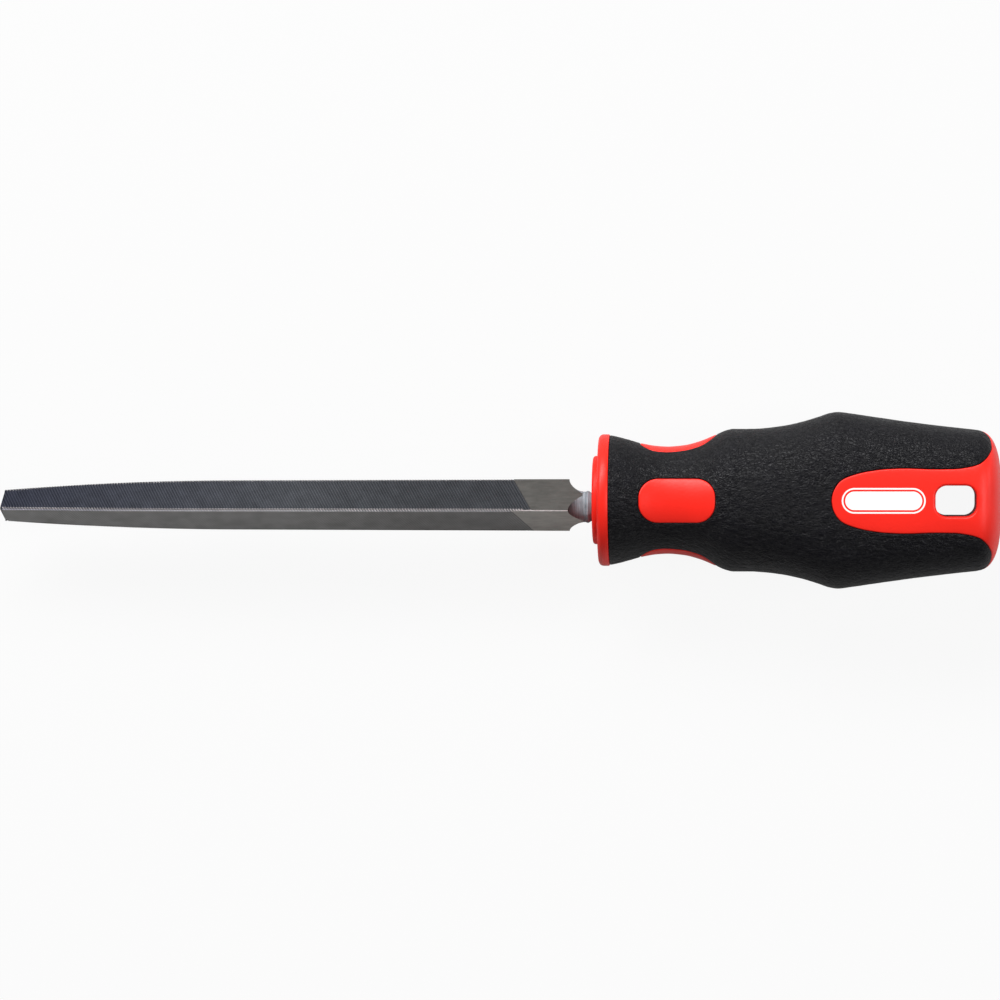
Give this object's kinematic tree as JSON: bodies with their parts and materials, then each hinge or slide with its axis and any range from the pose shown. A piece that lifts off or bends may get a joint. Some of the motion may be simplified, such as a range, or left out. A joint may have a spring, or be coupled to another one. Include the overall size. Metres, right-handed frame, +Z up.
{
  "type": "three-square hand file",
  "caption": "Triangular hand file with cut teeth, a turned neck and a thick two-colour moulded handle with a hanging eye.",
  "frame": {"origin": "on the bench, under the middle of the file's length, with the handle lying on its flat", "axes": "+X along the file from the tip towards the hanging eye, +Y across its width, +Z up out of the upper flat"},
  "size_m": [0.264, 0.0468, 0.0348],
  "materials": {
    "file_steel": "satin",
    "socket_red": "satin",
    "core_red": "gloss",
    "grip_black": "matte"
  },
  "bodies": {
    "root": {"file_blade": "file_steel", "tang_socket": "socket_red", "handle_core": "core_red", "grip_overmould": "grip_black"}
  },
  "joints": []
}
